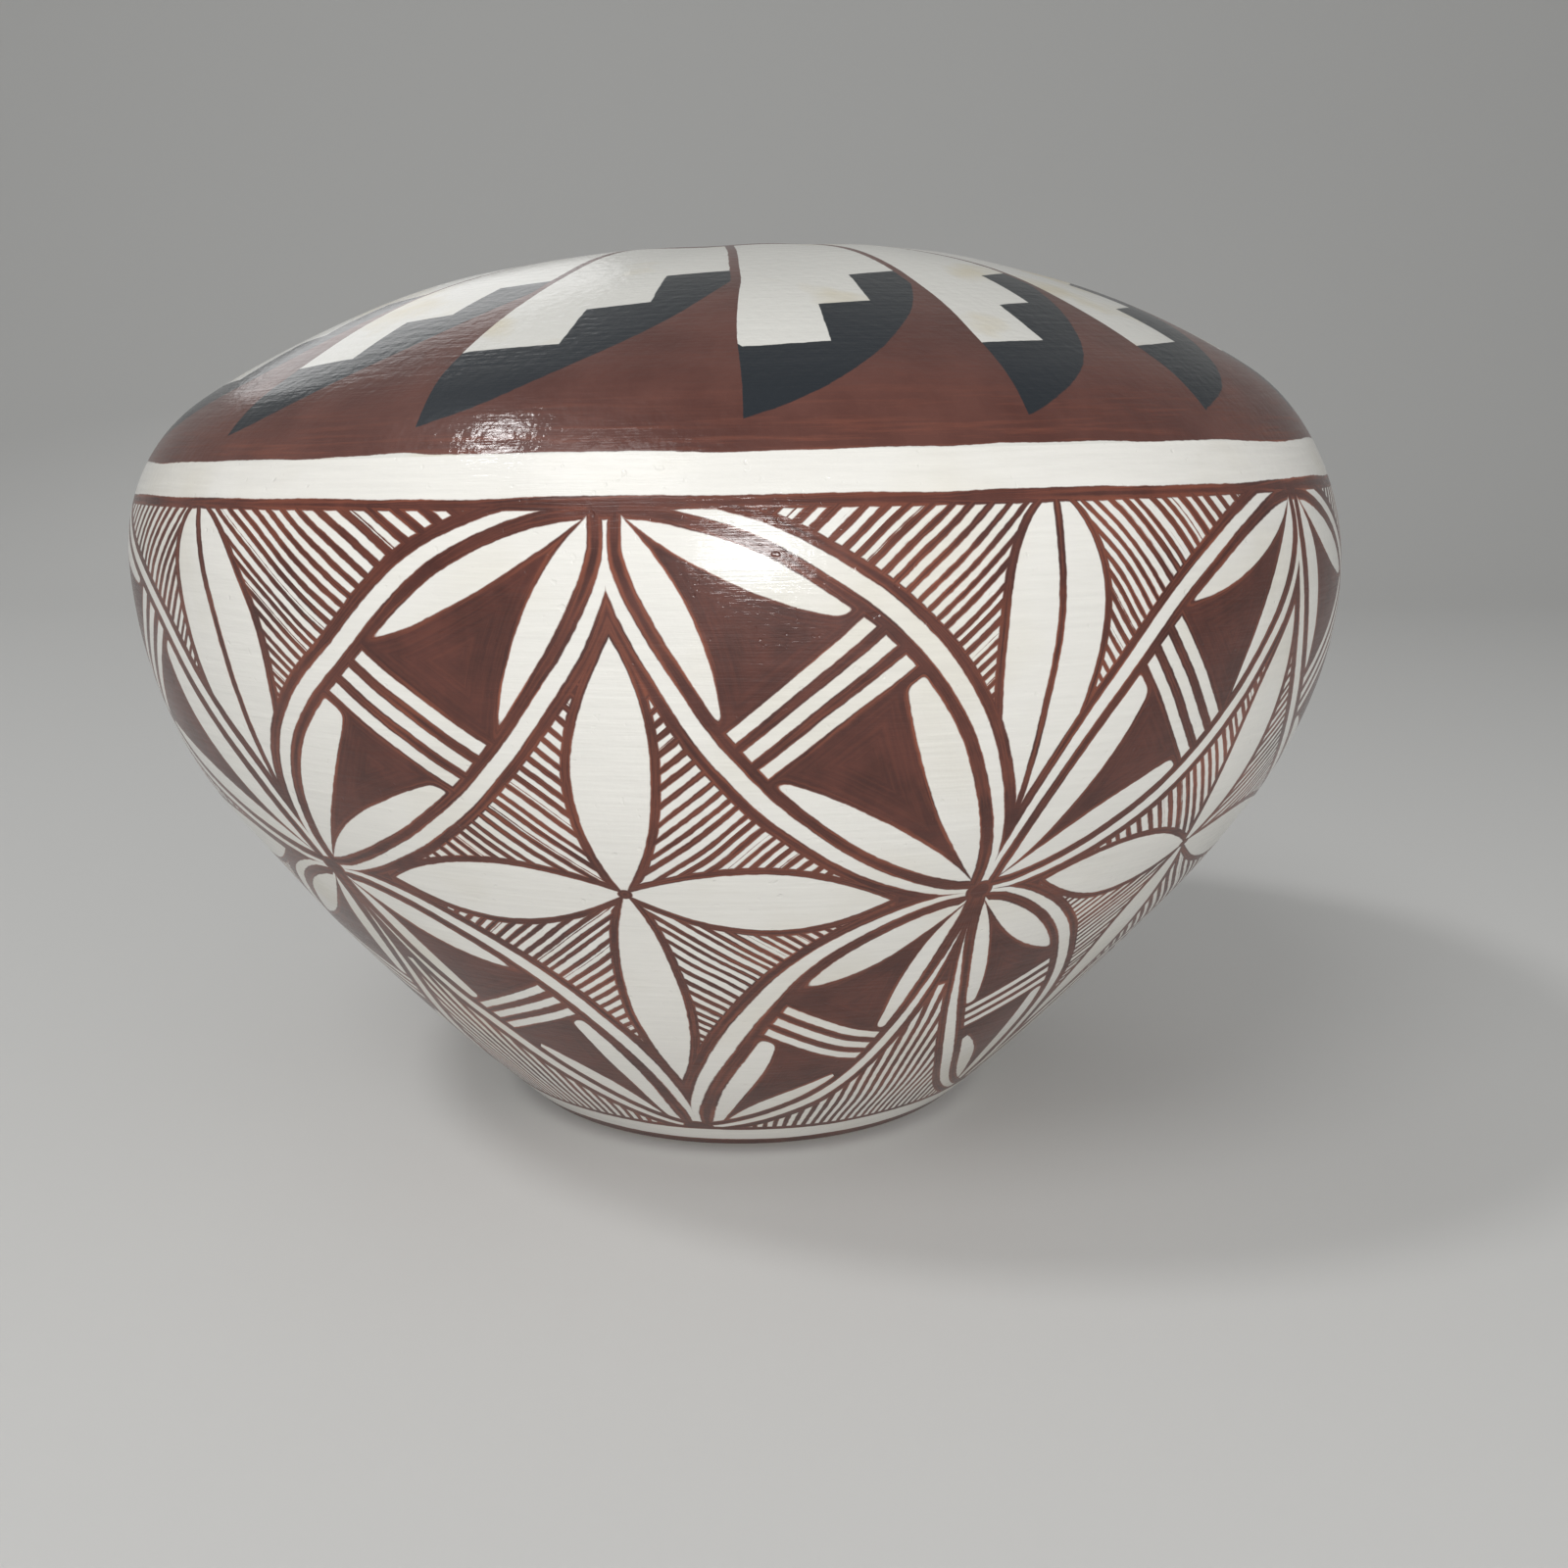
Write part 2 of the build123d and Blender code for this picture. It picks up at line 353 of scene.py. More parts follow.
def onFeathers(azimuth, station):
    # phase round the dome, whole at each feather's straight edge, and the station in the feather
    climb = (station - feather["leanFrom"]) / feather["leanOver"]
    phase = np.interp(azimuth - feather["lean"] * np.clip(climb, 0, 1), *tips)
    higher = tipsHigher[np.floor(phase).astype(int) - tips[1][0]]
    share = (station - feather["higherFrom"]) / feather["higherOver"]
    return phase, station - higher * np.clip(share, 0, 1)


bakeMap = {  # shares of the image that a piece is baked to
    "sideMargin": 0.004,
    "bottomMargin": 0.01,
    "stripGap": 0.03,
    "edge": 0.003,  # the ends of a coat, which turn under
    "hiddenGap": 0.008,
    "hiddenWidth": 0.006,
    "discRadius": 0.485,
    "hiddenCentre": 0.07,
    "hiddenRadius": 0.06,
    "hiddenInner": 0.03,
}


def bakeLayout(middle, across, up, hidden, deep, strips):
    # a level layout for baking: strips one above another, or the dome spread as a disc. Faces
    # under the coat get a narrow place of their own.
    low, high = up.min(), up.max()
    part = (up - low) / (high - low)
    edge = np.where(deep > 0, bakeMap["edge"], 0) * np.where(part > 0.5, 1, -1)
    if strips:
        row = np.floor((middle + 180) / 360 * strips)
        widest = max(wallAt(s)[0] for s in np.linspace(low, high, 20))
        wide = 1 - 2 * bakeMap["sideMargin"]
        scale = min(wide * strips / (2 * math.pi * widest),
                    (1 / strips - bakeMap["stripGap"]) / (high - low))
        u = bakeMap["sideMargin"] + wide * ((across + 180) / 360 * strips - row)
        under = bakeMap["hiddenGap"] + (high - low) * scale + bakeMap["hiddenWidth"] * (1 - part)
        v = np.where(hidden, under, (up - low) * scale + edge)
        return u, v + bakeMap["bottomMargin"] + row / strips
    inner = form["domeEndRadius"]
    reach = (inner + high - up) / (inner + high - low) * bakeMap["discRadius"] - edge
    reach = np.where(hidden, bakeMap["hiddenRadius"] - bakeMap["hiddenInner"] * part, reach)
    centre = np.where(hidden, bakeMap["hiddenCentre"], 0.5)
    turn = np.radians(across)
    return centre + reach * np.sin(turn), centre - reach * np.cos(turn)


def mapPiece(piece, points, strips):
    # UV maps: where on the wall a point is, where in the ornament, and the layout for baking
    mesh = piece.data
    places = readPoints(mesh)
    azimuth, station, depth = onWall(places, points)
    loops = np.empty(len(mesh.loops), int)
    mesh.loops.foreach_get("vertex_index", loops)
    starts = np.empty(len(mesh.polygons), int)
    mesh.polygons.foreach_get("loop_start", starts)
    totals = np.empty(len(mesh.polygons), int)
    mesh.polygons.foreach_get("loop_total", totals)
    owner = np.repeat(np.arange(len(starts)), totals)
    centre = np.stack([np.bincount(owner, places[loops, i]) / totals for i in range(2)], 1)
    middle = np.degrees(np.arctan2(centre[:, 0], -centre[:, 1]))[owner]
    turned = (azimuth[loops] - middle + 180) % 360 - 180
    onAxis = np.hypot(places[loops, 0], places[loops, 1]) < 1e-3
    turned[onAxis] = 0
    across, up = middle + turned, station[loops]

    def write(name, u, v):
        layer = mesh.uv_layers.new(name=name)
        layer.uv.foreach_set("vector", np.stack([u, v], 1).astype(np.float32).ravel())

    write("paintMap", across, up)
    write("latticeMap", *onLattice(across, up))
    write("featherMap", *onFeathers(across, up))
    if strips is not None:
        hidden = np.minimum.reduceat(depth[loops], starts)[owner] > 0
        write("OFBake", *bakeLayout(middle, across, up, hidden, depth[loops], strips))
    return azimuth, station


def makePiece(name, points, steps, replaced, strips=None):
    piece = turnPiece(name, points, steps)
    azimuth, station = mapPiece(piece, points, strips)
    shapeByHand(piece, azimuth, station)
    bpy.ops.object.shade_smooth_by_angle(angle=math.radians(facets["smoothAngle"]))
    bpy.ops.object.select_all(action="DESELECT")
    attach(piece, "root")
    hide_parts(*replaced)
    print(name, len(piece.data.polygons), "faces")
    return piece


clayNodes = ["base_pat", "lower_wall_course", "middle_wall_course", "upper_wall_course",
             "belly_course", "shoulder_course", "dome_course", "rim_coil"]
clayBody = makePiece("clayBody", clayOutline(), facets["clayColumns"], clayNodes)
coats = {}
for name, low, high, slot, replaced, strips in [  # strips for baking, and 0 is the disc
    ("paintedDome", stations["dome"], outlineEnd, "red_brown_paint",
     ["dome_paint", "feather_panels", "feather_tips", "rim_paint"], 0),
    ("shoulderBand", stations["shoulderBand"], stations["dome"], "white_slip",
     ["shoulder_slip_band"], 8),
    ("upperBody", stations["midRow"], stations["shoulderBand"], "white_slip",
     ["body_slip", "upper_framing_line"], 3),
    ("lowerBody", stations["lowerLine"], stations["midRow"], "white_slip",
     ["body_slip", "lower_framing_line"], 3),
    ("footBand", stations["footPaint"], stations["lowerLine"], "white_slip",
     ["foot_slip_band", "foot_paint"], 5),
]:
    points = coatOutline(low, high)
    coats[name] = makePiece(name, points, facets["columns"], replaced, strips)


def toLinear(code):
    # an sRGB hex colour as Blender's linear one
    parts = [int(code[i:i + 2], 16) / 255 for i in (1, 3, 5)]
    return (*[c / 12.92 if c <= 0.04045 else ((c + 0.055) / 1.055) ** 2.4 for c in parts], 1.0)


def addNode(tree, kind, inputs=(), **settings):
    # one node with its settings; a socket among its inputs is linked, and a value is set
    node = tree.nodes.new("ShaderNode" + kind)
    for setting, value in settings.items():
        setattr(node, setting, value)
    for place, given in inputs.items() if isinstance(inputs, dict) else enumerate(inputs):
        if isinstance(given, bpy.types.NodeSocket):
            tree.links.new(given, node.inputs[place])
        else:
            node.inputs[place].default_value = given
    return node.outputs


def follow(tree, known, steps):
    # a Math node for each step: its result, its operation and its terms, which are results or
    # values. Many terms under one MAXIMUM or MINIMUM are taken two at a time.
    for result, operation, *terms in steps:
        terms = [known.get(term, term) for term in terms]
        while operation in ("MAXIMUM", "MINIMUM") and len(terms) > 2:
            terms[:2] = [addNode(tree, "Math", terms[:2], operation=operation)[0]]
        known[result] = addNode(tree, "Math", terms, operation=operation)[0]


def newMaterial(name):
    material = bpy.data.materials.new(name)
    material.use_nodes = True
    material.node_tree.nodes.clear()
    return material, material.node_tree


grain = {
    "slow": {"Scale": 0.055, "Detail": 1.0},  # 18 mm swells, and grit, both per mm
    "fine": {"Scale": 0.75, "Detail": 2.0},
    "alongStroke": 0.05,  # how much coarser a brushed place is along the stroke
}


def mapsOf(tree):
    # what every finish reads: the place and the radius in mm, the station, slow waves, fine grit
    # and a place that is drawn out along level strokes
    inMetres = addNode(tree, "TexCoord")["Object"]
    place = addNode(tree, "VectorMath", {0: inMetres, "Scale": 1000.0}, operation="SCALE")[0]
    flat = addNode(tree, "VectorMath", [place, (1.0, 1.0, 0.0)], operation="MULTIPLY")[0]
    radius = addNode(tree, "VectorMath", [flat], operation="LENGTH")["Value"]
    paintMap = addNode(tree, "UVMap", uv_map="paintMap")[0]
    station = addNode(tree, "SeparateXYZ", [paintMap])[1]
    slow = addNode(tree, "TexNoise", {"Vector": place, **grain["slow"]})["Color"]
    waveA, waveB, waveC = addNode(tree, "SeparateColor", [slow])
    fine = addNode(tree, "TexNoise", {"Vector": place, **grain["fine"]})[0]
    level = [addNode(tree, "Math", [side, grain["alongStroke"]], operation="MULTIPLY")[0]
             for side in addNode(tree, "SeparateXYZ", [place])[:2]]
    brushed = addNode(tree, "CombineXYZ", [*level, station])[0]
    return {"place": place, "radius": radius, "station": station, "waveA": waveA,
            "waveB": waveB, "waveC": waveC, "fine": fine, "brushed": brushed}


def ironColour(tree, known, finish, thin):
    # iron-oxide paint: two tones in patches, and more orange where it is thin
    patches = addNode(tree, "TexNoise", {"Vector": known["place"], **finish["patches"]})[0]
    deep = addNode(tree, "MapRange", [patches, *finish["deep"]])[0]
    dark, iron, orange = [toLinear(finish[tone]) for tone in ("ironDark", "iron", "ironThin")]
    iron = addNode(tree, "Mix", {0: deep, 6: dark, 7: iron}, data_type="RGBA")[2]
    return addNode(tree, "Mix", {0: thin, 6: iron, 7: orange}, data_type="RGBA")[2]


def slipColour(tree, known, finish):
    # kaolin slip, stained in places
    stains = addNode(tree, "TexNoise", {"Vector": known["place"], **finish["stains"]})[0]
    stained = addNode(tree, "MapRange", [stains, *finish["stained"]])[0]
    clean, stain = toLinear(finish["slip"]), toLinear(finish["slipStain"])
    return addNode(tree, "Mix", {0: stained, 6: clean, 7: stain}, data_type="RGBA")[2]


def finishSurface(tree, finish, colour, rough, height):
    # the surface with its relief, whose height is in mm, and its sheen where it was rubbed
    normal = addNode(tree, "Bump", {"Strength": 1.0, "Distance": 0.001, "Height": height})[0]
    looks = {"Base Color": colour, "Roughness": rough, "IOR": 1.5, "Normal": normal}
    if "coat" in finish:
        looks.update({"Coat Weight": finish["coat"], "Coat Roughness": finish["coatRoughness"],
                      "Coat Normal": normal, "Specular IOR Level": finish["specular"]})
    addNode(tree, "OutputMaterial", [addNode(tree, "BsdfPrincipled", looks)[0]])


edges = {  # mm: how far the slow waves lift a painted edge, and its station
    "top": (0.9, 118.6),
    "upperLine": 117.5,
    "lowerLine": 8.3,
    "low": (0.8, 6.75),
    "foot": (0.8, 2.6),
    "dome": (2.0, 123.4),
    "mouth": (1.2, 189.2),
    "ragged": 0.24,
    "soft": 0.07,
    "domeSoft": 0.06,
}
paint = {  # iron-oxide paint on kaolin slip, as brushed: widths, heights and pitches in mm
    "outerLine": 1.5,
    "whiteHalf": 1.0,  # half of the stripe between a border's two lines
    "innerLine": 1.6,
    "outline": 0.6,
    "veinHalf": 0.5,
    "barHalf": (-0.13, 0.8),  # how much more below the middle row, and above it
    "barPitch": (-0.4, 3.05),
    "hatchPitch": 1.5,
    "sideBlob": 2.0,  # pools of paint where lines meet
    "topBlob": 2.2,
    "midBlob": 0.9,
    "streakAcross": 2.6,  # per mm
    "streakAlong": 0.1,
    "streaks": {"Scale": 1.0, "Detail": 3.0, "Roughness": 0.6},
    "worn": (0.4, 0.66, 0.0, 1.0),  # from and to, as all groups of four here
    "nearEdge": (0.0, 0.75, 1.0, 0.12),
    "patches": {"Scale": 0.16, "Detail": 4.0, "Roughness": 0.6},
    "deep": (0.36, 0.62, 0.0, 1.0),
    "stains": {"Scale": 0.035, "Detail": 3.0},
    "stained": (0.52, 0.75, 0.0, 0.6),
    "strokes": {"Scale": 1.6, "Detail": 4.0, "Roughness": 0.65},
    "shade": (0.3, 0.7, 0.955, 1.02),
    "rough": (0.3, 0.7, 0.45, 0.6),
    "pits": {"Scale": 0.9, "Detail": 1.0},
    "pitted": (0.71, 0.8, 0.0, -0.05),
    "strokeHeight": 0.075,
    "gritHeight": 0.04,
    "coat": 0.6,
    "coatRoughness": 0.11,
    "specular": 0.25,
    "slip": "#e2e0da",
    "slipStain": "#d2ccbc",
    "ironDark": "#42211b",
    "iron": "#552d25",
    "ironThin": "#8f4f39",
}
pattern = {  # proportions of the ornament, in cells where no unit is given. The first of a
    # pair is how much more it is below the middle row, or where the comment says.
    "wander": 0.024,  # how far the hand strays round the jar
    "wanderUp": 0.018,
    "cellWidth": 30.0,  # degrees
    "cellHeight": (9.2, 50.6),  # mm
    "closing": (-1.2, 1.0),  # how a border closes towards the ends of its lens
    "leastOpen": 0.1,
    "taper": (-0.65, -0.75),  # how its white stripe narrows, more on the low corners' side
    "stripeIn": 1.4,  # mm, how far inside the circle the stripe lies
    "swerve": -0.9,  # mm, how the stripes join over a flower
    "lowLean": -0.14,  # how the axis of a lens leans at its low end
    "petalScale": 0.354,  # of a cell's width and height together
    "petalBow": (0.75, 1.25),  # radius of a petal's inner edge, more at the side ends
    "petalBowLow": 1.0,
    "petalBowLowSide": -1.62,
    "petalRound": 1.6,  # mm, how round a petal is by the bars
    "petalTip": (0.9, 1.0),  # mm, and by the border
    "petalStart": (-0.8, 5.3),  # mm from the middle bar
    "barsOff": (-0.018, -0.035),  # how far off a lens's middle the bars lie, turn and turn about
    "barsLow": 0.05,
    "leafMiddle": 0.362,
    "leafHalf": 0.09,
    "leafStretch": 0.036,
    "leafEnd": 0.73,
    "splitLeafEnd": 0.9,
    "splitLeafBend": 0.62,
    "splitLeafHalf": 0.132,
    "leafEndSteep": 30.0,
    "diagonal": 0.7071,
    "closer": 0.0065,  # how much closer the hatching gets per mm
    "strokesPerMm": 0.75,
    "lowStrokes": 17.14,  # upright strokes in a cell
    "lowStrokeWidth": 1.75,  # degrees
    "lowStrokeShare": 0.26,
    "apex": (0.22, 0.1),  # where lines close over a corner's tip
    "apexSteep": 40.0,
}

# The ornament as distances in mm, above 0 where there is paint. x and y run from a flower's
# middle (0, 0) to the corner of its cell (1, 1), and a lens lies between the circles about
# these two corners.
ornament = [
    ("phaseMoved", "MULTIPLY_ADD", "waveA", pattern["wander"], "phase"),
    ("p", "SUBTRACT", "phaseMoved", pattern["wander"] / 2),
    ("rowMoved", "MULTIPLY_ADD", "waveB", pattern["wanderUp"], "row"),
    ("q", "SUBTRACT", "rowMoved", pattern["wanderUp"] / 2),
    ("xNear", "PINGPONG", "p", 1.0),
    ("yNear", "ABSOLUTE", "q"),
    ("below", "LESS_THAN", "q", 0.0),
    ("wide", "MULTIPLY", "radius", math.radians(pattern["cellWidth"])),
    ("high", "MULTIPLY_ADD", "below", *pattern["cellHeight"]),
    ("xFar", "SUBTRACT", 1.0, "xNear"),
    ("yFar", "SUBTRACT", 1.0, "yNear"),
    ("ww", "MULTIPLY", "wide", "wide"),
    ("hh", "MULTIPLY", "high", "high"),
]
for end in ("Near", "Far"):  # distance inside the circle about that corner
    ornament += [
        ("xx" + end, "MULTIPLY", "x" + end, "x" + end),
        ("yy" + end, "MULTIPLY", "y" + end, "y" + end),
        ("dd" + end, "ADD", "xx" + end, "yy" + end),
        ("d" + end, "SQRT", "dd" + end),
        ("sx" + end, "DIVIDE", "xx" + end, "ww"),
        ("sy" + end, "DIVIDE", "yy" + end, "hh"),
        ("ss" + end, "ADD", "sx" + end, "sy" + end),
        ("s" + end, "SQRT", "ss" + end),
        ("gap" + end, "SUBTRACT", 1.0, "d" + end),
        ("reach" + end, "MULTIPLY", "gap" + end, "d" + end),
        ("in" + end, "DIVIDE", "reach" + end, "s" + end),
    ]
ornament += [
    ("lens", "MINIMUM", "inNear", "inFar"),
    ("skew", "SUBTRACT", "xNear", "yNear"),
    ("along", "ABSOLUTE", "skew"),  # 0 at the lens's middle, 1 at its ends
    ("sum", "ADD", "xNear", "yNear"),
    ("lean", "SUBTRACT", "sum", 1.0),
    ("toSide", "GREATER_THAN", "skew", 0.0),
    ("toSideLow", "MULTIPLY", "toSide", "below"),
    ("lowEnd", "SUBTRACT", "below", "toSideLow"),
    ("lowLean", "MULTIPLY", "lowEnd", "along"),
    ("leanMoved", "MULTIPLY_ADD", "lowLean", pattern["lowLean"], "lean"),
    ("off", "ABSOLUTE", "leanMoved"),
    # its border: a white stripe between two lines, narrower towards the ends
    ("alongSquare", "MULTIPLY", "along", "along"),
    ("openAll", "MULTIPLY_ADD", "alongSquare", *pattern["closing"]),
    ("open", "MAXIMUM", "openAll", pattern["leastOpen"]),
    ("stripeFar", "MULTIPLY", "open", pattern["stripeIn"]),
    ("flowerSide", "GREATER_THAN", "inNear", "inFar"),
    ("cornerSide", "SUBTRACT", 1.0, "flowerSide"),
    ("closing", "MULTIPLY", "toSideLow", "cornerSide"),
    ("taper", "MULTIPLY_ADD", "closing", *pattern["taper"]),
    ("half", "MULTIPLY_ADD", "alongSquare", "taper", paint["whiteHalf"]),
    ("stripeAt", "MULTIPLY_ADD", "open", "flowerSide", "stripeFar"),
    ("toTop", "LESS_THAN", "skew", 0.0),
    ("toTopHigh", "SUBTRACT", "toTop", "lowEnd"),
    ("byFlower", "MULTIPLY", "toTopHigh", "flowerSide"),
    ("cube", "MULTIPLY", "alongSquare", "along"),
    ("cubeTurn", "MULTIPLY", "cube", math.pi),
    ("swerve", "SINE", "cubeTurn"),
    ("swerveHere", "MULTIPLY", "swerve", "byFlower"),
    ("stripe", "MULTIPLY_ADD", "swerveHere", pattern["swerve"], "stripeAt"),
    ("fromStripe", "SUBTRACT", "lens", "stripe"),
    ("stripeGap", "ABSOLUTE", "fromStripe"),
    ("unstriped", "SUBTRACT", "stripeGap", "half"),
    ("outside", "ADD", "fromStripe", "half"),
    ("outerEdge", "ADD", "outside", paint["outerLine"]),
    ("inside", "SUBTRACT", "fromStripe", "half"),
    ("lensFill", "SUBTRACT", "inside", paint["innerLine"]),
    # petals: circles that touch the lens's axis at its ends
    ("bowSide", "MULTIPLY_ADD", "toSide", *pattern["petalBow"]),
    ("bowLow", "MULTIPLY_ADD", "below", pattern["petalBowLow"], "bowSide"),
    ("bow", "MULTIPLY_ADD", "toSideLow", pattern["petalBowLowSide"], "bowLow"),
    ("px", "SUBTRACT", "along", 1.0),
    ("py", "SUBTRACT", "off", "bow"),
    ("pxx", "MULTIPLY", "px", "px"),
    ("pp", "MULTIPLY_ADD", "py", "py", "pxx"),
    ("pd", "SQRT", "pp"),
    ("pIn", "SUBTRACT", "bow", "pd"),
    ("size", "ADD", "wide", "high"),
    ("petalScale", "MULTIPLY", "size", pattern["petalScale"]),
    ("petal", "MULTIPLY", "pIn", "petalScale"),
    # three white bars across the lens
    ("xm", "SUBTRACT", "xNear", 0.5),
    ("ym", "SUBTRACT", "yNear", 0.5),
    ("tx", "MULTIPLY", "xm", "ww"),
    ("ty", "MULTIPLY", "ym", "hh"),
    ("tt", "SUBTRACT", "tx", "ty"),
    ("spanSquare", "ADD", "ww", "hh"),
    ("span", "SQRT", "spanSquare"),
    ("across", "DIVIDE", "tt", "span"),
    ("pTurn", "MULTIPLY", "p", math.pi),
    ("swing", "SINE", "pTurn"),
    ("above", "SUBTRACT", 1.0, "below"),
    ("shiftHigh", "MULTIPLY_ADD", "swing", *pattern["barsOff"]),
    ("shiftAbove", "MULTIPLY", "shiftHigh", "above"),
    ("shift", "MULTIPLY_ADD", "below", pattern["barsLow"], "shiftAbove"),
    ("barPitch", "MULTIPLY_ADD", "below", *paint["barPitch"]),
    ("barHalf", "MULTIPLY_ADD", "below", *paint["barHalf"]),
    ("shiftLength", "MULTIPLY", "shift", "span"),
    ("fromBar", "SUBTRACT", "across", "shiftLength"),
    ("barGap", "ABSOLUTE", "fromBar"),
    ("midBar", "SUBTRACT", "barHalf", "barGap"),
    ("sideOff", "SUBTRACT", "barGap", "barPitch"),
    ("sideGap", "ABSOLUTE", "sideOff"),
    ("sideBar", "SUBTRACT", "barHalf", "sideGap"),
    ("bars", "MAXIMUM", "midBar", "sideBar"),
    ("clearFrom", "MULTIPLY_ADD", "below", *pattern["petalStart"]),
    ("clear", "SUBTRACT", "barGap", "clearFrom"),
    ("petalCut", "SMOOTH_MIN", "petal", "clear", pattern["petalRound"]),
    ("roundMore", "MULTIPLY_ADD", "below", *pattern["petalTip"]),
    ("roundLess", "SUBTRACT", 1.0, "along"),
    ("rounding", "MULTIPLY", "roundMore", "roundLess"),
    ("petalIn", "SMOOTH_MIN", "petalCut", "lensFill", "rounding"),
    ("petalsBars", "MAXIMUM", "petalIn", "bars"),
    ("bare", "MINIMUM", "petalsBars", "lensFill"),
    ("unbared", "MULTIPLY", "bare", -1.0),
    ("lensPaint", "MINIMUM", "unbared", "unstriped", "outerEdge"),
    # the flower's four leaves and the hatching between them
    ("u", "MAXIMUM", "xNear", "yNear"),
    ("v", "MINIMUM", "xNear", "yNear"),
    ("upright", "GREATER_THAN", "yNear", "xNear"),
    ("wideMore", "SUBTRACT", "wide", "high"),
    ("leafScale", "MULTIPLY_ADD", "upright", "wideMore", "high"),
    ("aboveUpright", "MULTIPLY", "above", "upright"),
    ("stretch", "MULTIPLY_ADD", "aboveUpright", pattern["leafStretch"], 1.0),
    ("uLong", "MULTIPLY", "u", "stretch"),
    ("uOff", "SUBTRACT", "uLong", pattern["leafMiddle"]),
    ("uPart", "DIVIDE", "uOff", pattern["leafMiddle"]),
    ("uSquare", "MULTIPLY", "uPart", "uPart"),
    ("leafHalf", "MULTIPLY_ADD", "uSquare", -pattern["leafHalf"], pattern["leafHalf"]),
    ("leafIn", "SUBTRACT", "leafHalf", "v"),
    ("leaf", "MULTIPLY", "leafIn", "leafScale"),
    ("xm1", "MULTIPLY", "xNear", "wide"),
    ("ym1", "MULTIPLY", "yNear", "high"),
    ("xy", "SUBTRACT", "xm1", "ym1"),
    ("c", "MULTIPLY", "xy", pattern["diagonal"]),
    ("cell", "FLOOR", "p"),
    ("flowerStroke", "MULTIPLY_ADD", "c", 1 / paint["hatchPitch"], "waveC"),
    ("tipOut", "SUBTRACT", "uLong", pattern["leafEnd"]),
    ("tip", "MULTIPLY", "tipOut", pattern["leafEndSteep"]),
    # the split leaf under each top corner, and its hatching, closer towards the bottom
    ("kPart", "DIVIDE", "yFar", pattern["splitLeafEnd"]),
    ("kHeld", "MINIMUM", "kPart", 1.0),
    ("kBent", "POWER", "kHeld", pattern["splitLeafBend"]),
    ("kTurn", "MULTIPLY", "kBent", math.pi),
    ("kSine", "SINE", "kTurn"),
    ("kHalf", "MULTIPLY", "kSine", pattern["splitLeafHalf"]),
    ("kIn", "SUBTRACT", "kHalf", "xFar"),
    ("topLeaf", "MULTIPLY", "kIn", "wide"),
    ("xm2", "MULTIPLY", "xFar", "wide"),
    ("vein", "SUBTRACT", paint["veinHalf"], "xm2"),
    ("closer", "MULTIPLY_ADD", "c", pattern["closer"], pattern["strokesPerMm"]),
    ("topStroke", "MULTIPLY_ADD", "closer", "c", "waveC"),
    ("perMm", "MULTIPLY_ADD", "c", 2 * pattern["closer"], pattern["strokesPerMm"]),
    # upright hatching under the bottom corners
    ("w", "MULTIPLY_ADD", "p", pattern["lowStrokes"], "waveC"),
    ("wPing", "PINGPONG", "w", 0.5),
    ("wShare", "SUBTRACT", pattern["lowStrokeShare"], "wPing"),
    ("wScale", "MULTIPLY", "radius", math.radians(pattern["lowStrokeWidth"])),
    ("lowHatch", "MULTIPLY", "wShare", "wScale"),
    # where the flower's and the corner's fields end
    ("halfLine", "ADD", "half", paint["outerLine"] / 2),
    ("clipNear", "SUBTRACT", "stripeFar", "halfLine"),
    ("clipOpen", "ADD", "clipNear", "open"),
    ("clipFar", "MULTIPLY_ADD", "swerveHere", pattern["swerve"], "clipOpen"),
    ("notFar", "SUBTRACT", "clipFar", "inFar"),
    ("notNear", "SUBTRACT", "clipNear", "inNear"),
    ("apexAt", "MULTIPLY_ADD", "below", *pattern["apex"]),
    ("apexPart", "SUBTRACT", "apexAt", "yNear"),
    ("apex", "MULTIPLY", "apexPart", pattern["apexSteep"]),
    # the plain rings: paint from the dome down onto the white band, and up from the foot
    ("upperLine", "SUBTRACT", "station", edges["upperLine"]),
    ("lowerLine", "SUBTRACT", edges["lowerLine"], "station"),
    ("topEdge", "MULTIPLY_ADD", "waveA", *edges["top"]),
    ("underTop", "SUBTRACT", "topEdge", "station"),
    ("lowEdge", "MULTIPLY_ADD", "waveB", *edges["low"]),
    ("overLow", "SUBTRACT", "station", "lowEdge"),
    ("domeEdge", "MULTIPLY_ADD", "waveC", *edges["dome"]),
    ("domeOver", "SUBTRACT", "station", "domeEdge"),
    ("footEdge", "MULTIPLY_ADD", "waveC", *edges["foot"]),
    ("footUnder", "SUBTRACT", "footEdge", "station"),
    ("ragged", "MULTIPLY_ADD", "fine", edges["ragged"], -edges["ragged"] / 2),
    ("ym2", "MULTIPLY", "yFar", "high"),
]
for leaf in ("leaf", "topLeaf"):  # its outline, and what lies outside it
    ornament += [
        (leaf + "Off", "ADD", leaf, paint["outline"]),
        (leaf + "Gap", "ABSOLUTE", leaf + "Off"),
        (leaf + "Line", "SUBTRACT", paint["outline"], leaf + "Gap"),
        (leaf + "Out", "MULTIPLY_ADD", leaf, -1.0, -paint["outline"]),
    ]
for blob, x, y in (("side", "xm2", "ym1"), ("top", "xm1", "ym2"), ("mid", "xm1", "ym1")):
    ornament += [  # where lines meet, the paint pools
        (blob + "X", "MULTIPLY", x, x),
        (blob + "Sum", "MULTIPLY_ADD", y, y, blob + "X"),
        (blob + "Away", "SQRT", blob + "Sum"),
        (blob + "Blob", "SUBTRACT", paint[blob + "Blob"], blob + "Away"),
    ]
